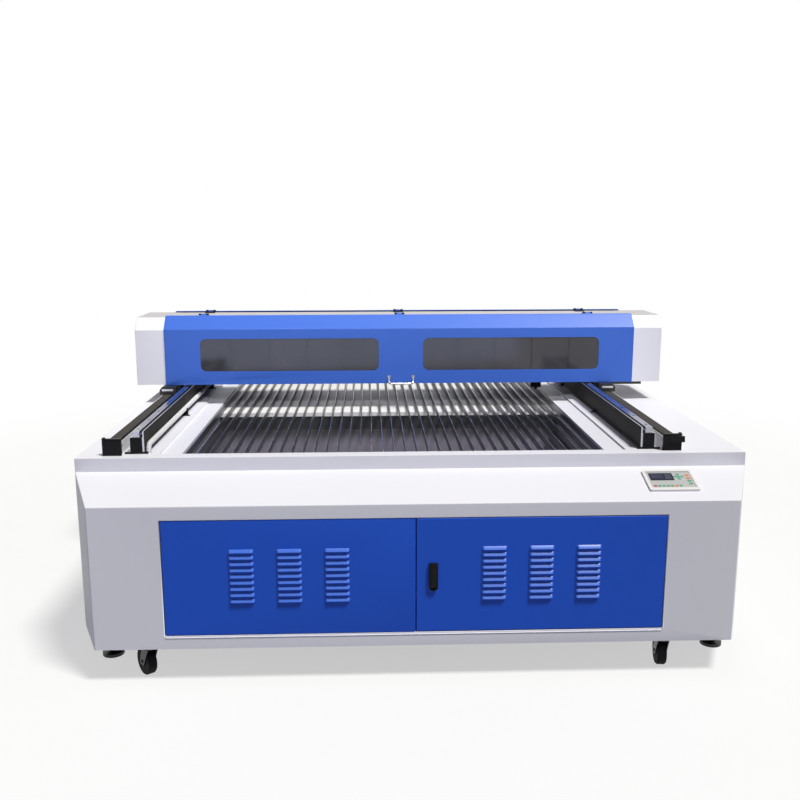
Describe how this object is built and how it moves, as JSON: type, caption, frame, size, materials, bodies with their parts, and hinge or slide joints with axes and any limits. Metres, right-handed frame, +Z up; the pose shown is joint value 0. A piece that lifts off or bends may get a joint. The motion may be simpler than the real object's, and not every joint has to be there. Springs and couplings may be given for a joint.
{
  "type": "fabric laser cutting machine",
  "caption": "Low cabinet with a slatted bed and a covered bridge that travels along two rails and carries a laser head for cutting cloth.",
  "frame": {"origin": "on the floor, under the middle of the outer box", "axes": "+Z up, +Y from the console at the front to the exhaust outlets at the rear, +X to the right seen from the front"},
  "size_m": [2.426, 3.918, 1.162],
  "materials": {
    "frame_grey": "satin dark grey paint",
    "white_paint": "semi-gloss white powder coat",
    "blue_paint": "semi-gloss blue powder coat",
    "grey_paint": "satin grey paint",
    "black_part": "satin black",
    "steel": "bright steel",
    "aluminium": "anodised",
    "chrome": "polished",
    "black_plastic": "matt",
    "keypad_plastic": "matt light grey",
    "screen": "dark, glossy",
    "keys": "matt",
    "belt_rubber": "matt, toothed",
    "wheel_rubber": "matt",
    "smoked_acrylic": "glossy smoked",
    "tube_glass": "clear"
  },
  "bodies": {
    "machine": {"base_frame": "frame_grey", "left_side_panel": "white_paint", "right_side_panel": "white_paint", "rear_panel": "white_paint", "front_console": "white_paint", "deck": "white_paint", "slat_frame": "grey_paint", "slats": "steel", "bed_plate": "grey_paint", "cross_beams": "grey_paint", "catch_pan": "grey_paint", "exhaust_outlets": "steel", "bay_back_plate": "white_paint", "laser_power_supply": "aluminium", "drive_electronics": "aluminium", "keypad_bezel": "keypad_plastic", "keypad_screen": "screen", "keypad_keys": "keys", "rail_profiles": "aluminium", "rail_end_caps": "black_plastic", "guide_rails": "steel", "belt_end_blocks": "black_part", "belt_tracks": "aluminium", "drive_belts": "belt_rubber", "drive_motor": "black_part", "cable_conduit": "black_plastic", "cable_clips": "black_plastic", "caster_plates": "frame_grey", "levelling_feet": "black_part"},
    "left_door": {"left_door": "blue_paint"},
    "right_door": {"right_door": "blue_paint", "lock_case": "black_part"},
    "lock_lever": {"lock_lever": "black_part"},
    "bridge": {"bridge_beam": "aluminium", "bridge_housing": "white_paint", "bearing_blocks": "steel", "belt_clamps": "black_part", "laser_tube": "tube_glass", "tube_holders": "black_part", "mirror_mounts": "aluminium", "head_rail": "steel", "head_drive": "black_part", "cover_hinges": "black_part"},
    "front_cover": {"front_cover": "blue_paint", "front_windows": "smoked_acrylic", "front_handle": "chrome"},
    "rear_cover": {"rear_cover": "blue_paint"},
    "head": {"head_carriage": "aluminium"},
    "focus": {"focus_tube": "black_part"},
    "front_left_fork": {"front_left_fork": "frame_grey"},
    "front_left_wheel": {"front_left_wheel": "wheel_rubber"},
    "front_right_fork": {"front_right_fork": "frame_grey"},
    "front_right_wheel": {"front_right_wheel": "wheel_rubber"},
    "rear_left_fork": {"rear_left_fork": "frame_grey"},
    "rear_left_wheel": {"rear_left_wheel": "wheel_rubber"},
    "rear_right_fork": {"rear_right_fork": "frame_grey"},
    "rear_right_wheel": {"rear_right_wheel": "wheel_rubber"},
    "drive_shaft": {"drive_shaft": "steel"},
    "left_idler": {"left_idler_pulley": "steel"},
    "right_idler": {"right_idler_pulley": "steel"}
  },
  "joints": [
    {"name": "bridge_travel", "type": "slide", "parent": "machine", "child": "bridge", "axis": [0, 1, 0], "range_m": [-0.84, 2.1]},
    {"name": "head_travel", "type": "slide", "parent": "bridge", "child": "head", "axis": [1, 0, 0], "range_m": [-1.45, 0.05]},
    {"name": "focus_travel", "type": "slide", "parent": "head", "child": "focus", "axis": [0, 0, 1], "range_m": [-0.02, 0.012]},
    {"name": "front_cover_hinge", "type": "hinge", "parent": "bridge", "child": "front_cover", "pos_m": [0, -0.656, 1.157], "axis": [-1, 0, 0], "range_deg": [0, 100]},
    {"name": "rear_cover_hinge", "type": "hinge", "parent": "bridge", "child": "rear_cover", "pos_m": [0, -0.466, 1.157], "axis": [1, 0, 0], "range_deg": [0, 100]},
    {"name": "left_door_hinge", "type": "hinge", "parent": "machine", "child": "left_door", "pos_m": [-0.843, -1.9405, 0.383], "axis": [0, 0, -1], "range_deg": [0, 110]},
    {"name": "right_door_hinge", "type": "hinge", "parent": "machine", "child": "right_door", "pos_m": [0.86, -1.9405, 0.383], "axis": [0, 0, 1], "range_deg": [0, 110]},
    {"name": "lock_lever_hinge", "type": "hinge", "parent": "right_door", "child": "lock_lever", "pos_m": [0.068, -1.954, 0.343], "axis": [1, 0, 0], "range_deg": [0, 30]},
    {"name": "front_left_swivel", "type": "hinge", "parent": "machine", "child": "front_left_fork", "pos_m": [-0.9185, -1.897, 0.115], "axis": [0, 0, 1], "continuous": true},
    {"name": "front_left_roll", "type": "hinge", "parent": "front_left_fork", "child": "front_left_wheel", "pos_m": [-0.93943, -1.87021, 0.052], "axis": [0.788, 0.6157, 0], "continuous": true},
    {"name": "front_right_swivel", "type": "hinge", "parent": "machine", "child": "front_right_fork", "pos_m": [0.8915, -1.897, 0.115], "axis": [0, 0, 1], "continuous": true},
    {"name": "front_right_roll", "type": "hinge", "parent": "front_right_fork", "child": "front_right_wheel", "pos_m": [0.89505, -1.86319, 0.052], "axis": [0.9945, -0.1045, 0], "continuous": true},
    {"name": "rear_left_swivel", "type": "hinge", "parent": "machine", "child": "rear_left_fork", "pos_m": [-0.9185, 1.699, 0.115], "axis": [0, 0, 1], "continuous": true},
    {"name": "rear_left_roll", "type": "hinge", "parent": "rear_left_fork", "child": "rear_left_wheel", "pos_m": [-0.93013, 1.73095, 0.052], "axis": [0.9397, 0.342, 0], "continuous": true},
    {"name": "rear_right_swivel", "type": "hinge", "parent": "machine", "child": "rear_right_fork", "pos_m": [0.8915, 1.699, 0.115], "axis": [0, 0, 1], "continuous": true},
    {"name": "rear_right_roll", "type": "hinge", "parent": "rear_right_fork", "child": "rear_right_wheel", "pos_m": [0.90587, 1.72981, 0.052], "axis": [0.9063, -0.4226, 0], "continuous": true},
    {"name": "drive_shaft_spin", "type": "hinge", "parent": "machine", "child": "drive_shaft", "pos_m": [-0.0555, 1.799, 0.786], "axis": [1, 0, 0], "range_deg": [-6700, 2700]},
    {"name": "left_idler_spin", "type": "hinge", "parent": "machine", "child": "left_idler", "pos_m": [-1.0645, -1.675, 0.786], "axis": [1, 0, 0], "range_deg": [-6700, 2700]},
    {"name": "right_idler_spin", "type": "hinge", "parent": "machine", "child": "right_idler", "pos_m": [0.9535, -1.675, 0.786], "axis": [1, 0, 0], "range_deg": [-6700, 2700]}
  ],
  "couplings": [
    {"joint": "drive_shaft_spin", "follows": "bridge_travel", "rad_per_m": -55.556},
    {"joint": "left_idler_spin", "follows": "bridge_travel", "rad_per_m": -55.556},
    {"joint": "right_idler_spin", "follows": "bridge_travel", "rad_per_m": -55.556}
  ]
}
